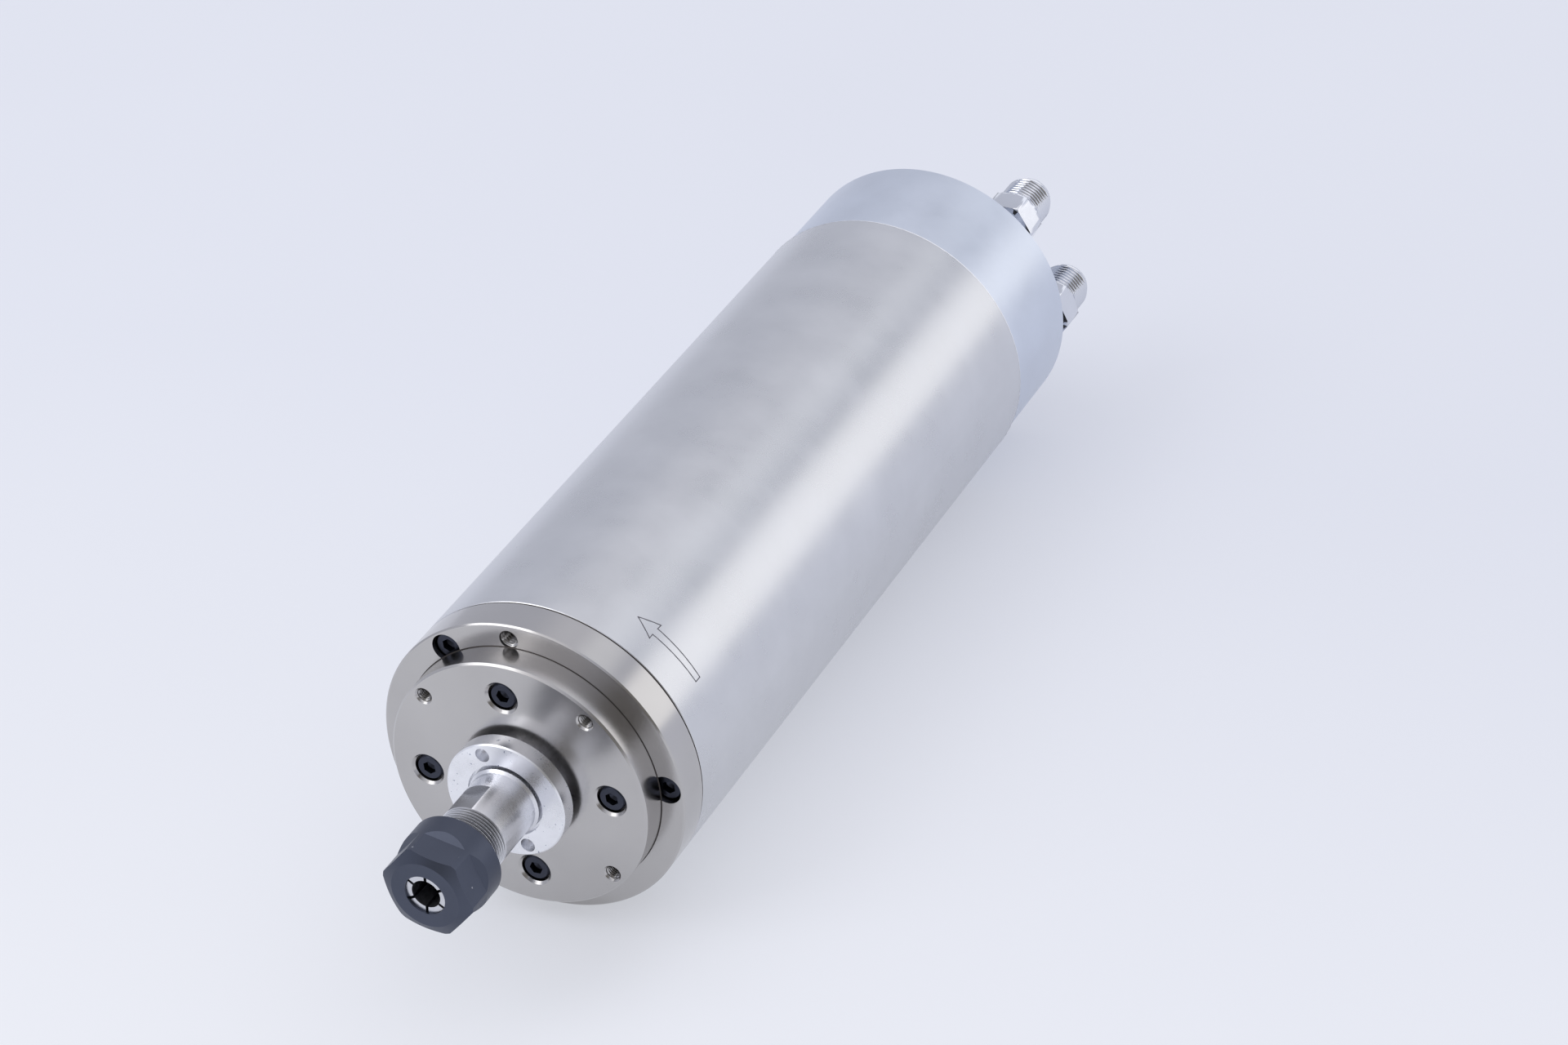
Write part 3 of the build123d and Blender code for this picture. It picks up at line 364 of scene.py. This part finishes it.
# Near-white metal, brighter than the tube's own steel, for the tube's rear edge and bead: a painted highlight
# line.
seam_highlight_steel = metal("seam_highlight_steel", srgb(250, 250, 252), 0.35)
collet_steel = metal("collet_steel", srgb(212, 213, 218), 0.30)
bearing_steel = metal("bearing_steel", srgb(205, 206, 210), 0.12)
spring_steel = metal("spring_steel", srgb(150, 152, 158), 0.28)
laminations = metal("laminations", srgb(120, 122, 128), 0.45, stretch=(0.02, 3, 0.02), grain=0.1, bump=0.4)
copper = metal("copper", srgb(196, 110, 70), 0.30, cloud=0.12)
brass = metal("brass", srgb(222, 188, 112), 0.22)
cage_resin = plastic("cage_resin", srgb(120, 72, 40), 0.5)
rubber = plastic("rubber", srgb(34, 34, 36), 0.55)
film = plastic("film", srgb(226, 220, 196), 0.4)
wedge_resin = plastic("wedge_resin", srgb(170, 140, 90), 0.5)
black_plastic = plastic("black_plastic", srgb(30, 30, 33), 0.42)
sleeve = plastic("sleeve", srgb(60, 62, 70), 0.5)

by_slot = {
    "satin_steel": tube_steel,
    "flange_steel": flange_steel,
    "black_screws": black_oxide,
    "aluminium_matte": matte_aluminium,
    "aluminium_bright": bright_aluminium,
    "nickel_plate": nickel,
    "ground_steel": ground_steel,
    "black_nut": nut_oxide,
    "collet_steel": collet_steel,
    "bearing_steel": bearing_steel,
    "cage_resin": cage_resin,
    "seal_rubber": rubber,
    "lamination_steel": laminations,
    "copper_winding": copper,
    "insulation_film": film,
    "wedge_resin": wedge_resin,
    "spring_steel": spring_steel,
    "connector_black": black_plastic,
    "contact_brass": brass,
    "lead_sleeve": sleeve,
}
for node in nodes.values():
    for place in node.material_slots:
        place.material = by_slot[place.material.name]


# ---- Mesh helpers: a piece is one mesh of several surfaces, in millimetres ----
THREAD_ROOT_FLAT, THREAD_FLANK = 0.12, 0.72  # shares of half a turn that are root and sloped flank


class Shape:
    """Collects surfaces, each a grid of points, and makes one object of them."""

    def __init__(self):
        self.points = []
        self.faces = []

    def grid(self, rows, joined=True):
        """A surface through rows of points, each row joined round on itself if joined."""
        start = len(self.points)
        count = len(rows[0])
        for row in rows:
            self.points.extend(row)
        for i in range(len(rows) - 1):
            for j in range(count if joined else count - 1):
                k = (j + 1) % count
                low, high = start + i * count, start + (i + 1) * count
                self.faces.append((low + j, high + j, high + k, low + k))

    def polar(self, centre, stations, radius, count=96, turn=0.0):
        """A surface about an axis along Y: radius(angle in degrees, station) for each (y, station) pair."""
        rows = []
        for y, station in stations:
            row = []
            for i in range(count):
                a = turn + 360.0 * i / count
                r = radius(a, station)
                x, z = polar(r, a)
                row.append((centre[0] + x, y, centre[1] + z))
            rows.append(row)
        self.grid(rows)

    def turned(self, centre, profile, count=96):
        """A surface of revolution from (radius, y) points."""
        self.polar(centre, [(y, r) for r, y in profile], lambda a, r: r, count)

    def thread(self, centre, root, crest, pitch, low, high, end_radius, count=64, steps=8, fade=1.0):
        """A helical thread from low to high, which runs out to end_radius over fade turns at each end."""
        total = max(2, round((high - low) / pitch * steps))
        places = [low + (high - low) * i / total for i in range(total + 1)]
        stations = [(y, y) for y in places]

        def radius(a, y):
            phase = (y / pitch - a / 360.0) % 1.0
            height = 1.0 - abs(2.0 * phase - 1.0)
            height = min(1.0, max(0.0, (height - THREAD_ROOT_FLAT) / THREAD_FLANK))
            near = min(1.0, (y - low) / (fade * pitch), (high - y) / (fade * pitch))
            full = root + (crest - root) * height
            return end_radius + (full - end_radius) * near

        self.polar(centre, stations, radius, count)

    def made(self, name, material, body, slot=None, crease=34):
        """One object of the surfaces, sharp at edges over crease degrees, that rides on a body."""
        mesh = bpy.data.meshes.new(name)
        mesh.from_pydata([(x / 1000, y / 1000, z / 1000) for x, y, z in self.points], [], self.faces)
        mesh.validate()
        work = bmesh.new()
        work.from_mesh(mesh)
        bmesh.ops.remove_doubles(work, verts=work.verts, dist=1e-7)
        bmesh.ops.recalc_face_normals(work, faces=work.faces)
        work.to_mesh(mesh)
        work.free()
        mesh.shade_smooth()
        mesh.set_sharp_from_angle(angle=math.radians(crease))
        mesh.materials.append(material)
        piece = bpy.data.objects.new(name, mesh)
        bpy.context.scene.collection.objects.link(piece)
        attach(piece, body)
        return piece


def polar(radius, angle):
    return radius * math.cos(math.radians(angle)), radius * math.sin(math.radians(angle))


def hexagon_radius(across, corner):
    """The radius of a hexagon's outline at an angle, with a corner at the angle corner."""
    def radius(a):
        off = (a - corner) % 60.0 - 30.0
        return across / 2 / math.cos(math.radians(off))
    return radius


# ---- Sizes repeated from the CAD, in millimetres and degrees ----
TUBE_RADIUS, TUBE_FRONT, TUBE_REAR = 32.5, -78.5, 78.5
FLANGE_FACE, COVER_FACE, COVER_RADIUS = -86.2, -92.3, 27.5
NOSE_HOLE_CIRCLE, JACK_HOLE_CIRCLE = 24.75, 29.3
REAR_FACE = 104.7
PORTS = (  # circle radius, angle, angle of one hexagon corner, CAD node
    (22.5, 42.6, 115.2, "water_inlet_fitting"),
    (24.2, -14.5, 50.0, "water_outlet_fitting"),
)
HEX_ACROSS, HEX_FRONT, HEX_REAR = 12.0, 110.5, 117.4
FITTING_NECK, FITTING_SHOULDER, FITTING_BORE = 4.6, 4.8, 2.1
FITTING_THREAD_FRONT, FITTING_THREAD_REAR, FITTING_END = 117.9, 125.7, 127.1

# ---- Water fittings with cut threads, a bevelled hexagon and a flared mouth ----
for port_circle, port_angle, corner, node in PORTS:
    centre = polar(port_circle, port_angle)
    outline = hexagon_radius(HEX_ACROSS, corner)
    fitting = Shape()
    fitting.turned(centre, [(FITTING_NECK, REAR_FACE), (FITTING_NECK, HEX_FRONT)])
    bevel = [(HEX_FRONT, FITTING_NECK), (HEX_FRONT, 6.5), (HEX_FRONT + 0.16, 6.75), (HEX_FRONT + 0.4, 7.0)]
    crown = [(HEX_REAR - 1.25, 6.95), (HEX_REAR - 0.8, 6.5), (HEX_REAR - 0.35, 6.05), (HEX_REAR - 0.1, 5.8)]
    crown += [(HEX_REAR, 5.6), (HEX_REAR, FITTING_SHOULDER)]
    fitting.polar(centre, bevel + crown, lambda a, limit: min(outline(a), limit), 144, corner)
    fitting.turned(centre, [(FITTING_SHOULDER, HEX_REAR), (FITTING_SHOULDER, FITTING_THREAD_FRONT)])
    fitting.thread(centre, 4.86, 5.5, 1.0, FITTING_THREAD_FRONT, FITTING_THREAD_REAR, FITTING_SHOULDER,
                   96, 12, 0.5)
    tip = [(FITTING_SHOULDER, FITTING_THREAD_REAR), (5.0, FITTING_THREAD_REAR + 0.02)]
    tip += [(5.08, FITTING_THREAD_REAR + 0.15), (4.98, FITTING_THREAD_REAR + 0.5), (4.7, FITTING_END - 0.25)]
    tip += [(4.5, FITTING_END - 0.08), (4.3, FITTING_END), (3.9, FITTING_END), (3.6, FITTING_END - 0.3)]
    tip += [(FITTING_BORE, FITTING_END - 4.2), (FITTING_BORE, REAR_FACE - 2)]
    fitting.turned(centre, tip)
    piece = fitting.made(node + "_threaded", nickel, "housing", "nickel_plate", 40)
    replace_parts(piece, node)

# ---- Electrical connector's shell, with its cut thread ----
PLUG = (-9.67, -8.708)
PLUG_INNER, PLUG_SEAT, PLUG_SHOULDER, PLUG_END = 93.0, 105.2, 107.2, 117.5
PLUG_BORE, PLUG_BODY, PLUG_COLLAR = 6.6, 7.5, 9.4
PLUG_ROOT = 7.4  # the radius beside the thread's ends, which the CAD doesn't have
plug_thread_start, plug_thread_end = PLUG_SHOULDER + 0.5, PLUG_END - 0.5
plug = Shape()
body_outline = [(PLUG_BORE, PLUG_INNER), (PLUG_BODY, PLUG_INNER), (PLUG_BODY, PLUG_SEAT), (9.2, PLUG_SEAT)]
body_outline += [(PLUG_COLLAR, PLUG_SEAT + 0.2), (PLUG_COLLAR, PLUG_SHOULDER - 0.35), (9.05, PLUG_SHOULDER)]
body_outline += [(PLUG_ROOT, PLUG_SHOULDER), (PLUG_ROOT, plug_thread_start)]
plug.turned(PLUG, body_outline, 128)
plug.thread(PLUG, 7.36, 7.9, 1.0, plug_thread_start, plug_thread_end, PLUG_ROOT, 128, 12, 0.5)
mouth_outline = [(PLUG_ROOT, plug_thread_end), (PLUG_ROOT, PLUG_END - 0.25), (7.15, PLUG_END)]
mouth_outline += [(6.8, PLUG_END), (PLUG_BORE, PLUG_END - 0.2), (PLUG_BORE, PLUG_INNER)]
plug.turned(PLUG, mouth_outline, 128)
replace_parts(plug.made("connector_shell_threaded", nickel, "housing", "nickel_plate", 40), "connector_shell")

# ---- Cut threads in the tapped holes ----
for name, face, circle, count, root, crest, pitch, depth, material in (
        ("nose_hole_threads", COVER_FACE, NOSE_HOLE_CIRCLE, 4, 1.49, 1.2, 0.5, 5.6, nose_hole_painted_shade_steel),
        ("jack_hole_threads", FLANGE_FACE, JACK_HOLE_CIRCLE, 2, 1.99, 1.62, 0.7, 6.8, jack_hole_painted_shade_steel)):
    tapped = Shape()
    for i in range(count):
        centre = polar(circle, (45 if count == 4 else 90) + 360 / count * i)
        tapped.thread(centre, root, crest, pitch, face + 0.3, face + depth, root, 48, 8)
    tapped.made(name, material, "housing", "flange_steel")

# ---- Fine joints and edges: the tube's rear edge in near-white metal as a painted highlight, and thin dark rings of painted shade in the joints ----
EDGE_ROUND, BEAD_CIRCLE, BEAD_RADIUS = 0.3, 32.16, 0.2
rounding = [(0.0, -0.04)] + [(EDGE_ROUND * math.cos(t * math.pi / 12) - EDGE_ROUND,
                              EDGE_ROUND * math.sin(t * math.pi / 12)) for t in range(7)]
edge = Shape()
edge.turned((0, 0), [(TUBE_RADIUS + out, TUBE_REAR - EDGE_ROUND + along) for out, along in rounding], 256)
bead = [polar(BEAD_RADIUS, t) for t in range(-90, 121, 15)]
edge.turned((0, 0), [(BEAD_CIRCLE + out, TUBE_REAR + 0.05 + along) for out, along in bead], 256)
edge.made("tube_rear_edge", seam_highlight_steel, "housing", "satin_steel", 60)

# Thin dark rings at the cover's root and at the tube's front joint: painted shade in the gaps between parts.
joint_gap_shade = metal("joint_gap_shade", srgb(70, 66, 64), 0.5)
joints = Shape()
cover_root = [(COVER_RADIUS + 0.01, FLANGE_FACE - 0.16), (COVER_RADIUS + 0.16, FLANGE_FACE - 0.01)]
joints.turned((0, 0), cover_root, 256)
tube_joint = [(32.38, TUBE_FRONT - 0.16), (32.24, TUBE_FRONT), (32.38, TUBE_FRONT + 0.16)]
joints.turned((0, 0), tube_joint, 256)
joints.made("joint_gap_shade_rings", joint_gap_shade, "housing", "flange_steel")

# ---- Thread on the shaft's nose, crisp over the CAD's grooves ----
NOSE_THREAD_END, NOSE_PITCH, NOSE_GROOVES = -110.02, 0.75, 17
NOSE_CREST, NOSE_ROOT = 7.02, 6.6
nose = Shape()
for i in range(NOSE_GROOVES):
    middle = NOSE_THREAD_END - (i + 0.5) * NOSE_PITCH
    groove = [(NOSE_CREST, middle + 0.345), (NOSE_ROOT, middle + 0.05), (NOSE_ROOT, middle - 0.05)]
    groove += [(NOSE_CREST, middle - 0.345), (NOSE_CREST, middle - 0.405)]
    nose.turned((0, 0), groove, 128)
nose.made("nose_thread", ground_steel, "rotor", "ground_steel", 20)

# ---- Direction arrow marked on the tube, an outline only ----
mark = plastic("arrow_mark", srgb(100, 99, 106), 0.55)


ARROW_CORNERS = (  # distance from the tube's front joint, angle around the tube
    (9.24, 55.23), (11.37, 47.5), (10.04, 47.64), (10.22, 25.7), (8.57, 25.74), (8.01, 47.74), (6.72, 47.72),
)
ARROW_STROKE, ARROW_LIFT, ARROW_STEP = 0.2, 0.02, 0.8


def arrow_mark():
    """Thin strokes that lie on the tube, along the outline of an arrow."""
    shape = Shape()
    width = ARROW_STROKE
    for i, (y0, a0) in enumerate(ARROW_CORNERS):
        y1, a1 = ARROW_CORNERS[(i + 1) % len(ARROW_CORNERS)]
        x0, x1 = math.radians(a0) * TUBE_RADIUS, math.radians(a1) * TUBE_RADIUS
        length = math.hypot(x1 - x0, y1 - y0)
        ux, uy = (x1 - x0) / length, (y1 - y0) / length
        steps = max(2, round(length / ARROW_STEP))
        rows = []
        for k in range(steps + 1):
            along = -width / 2 + (length + width) * k / steps
            row = []
            for side in (-0.5, 0.5):
                x = x0 + ux * along - uy * width * side
                y = y0 + uy * along + ux * width * side
                angle = math.degrees(x / TUBE_RADIUS)
                px, pz = polar(TUBE_RADIUS + ARROW_LIFT, angle)
                row.append((px, TUBE_FRONT + y, pz))
            rows.append(row)
        shape.grid(rows, joined=False)
    return shape


arrow_mark().made("direction_arrow", mark, "housing")
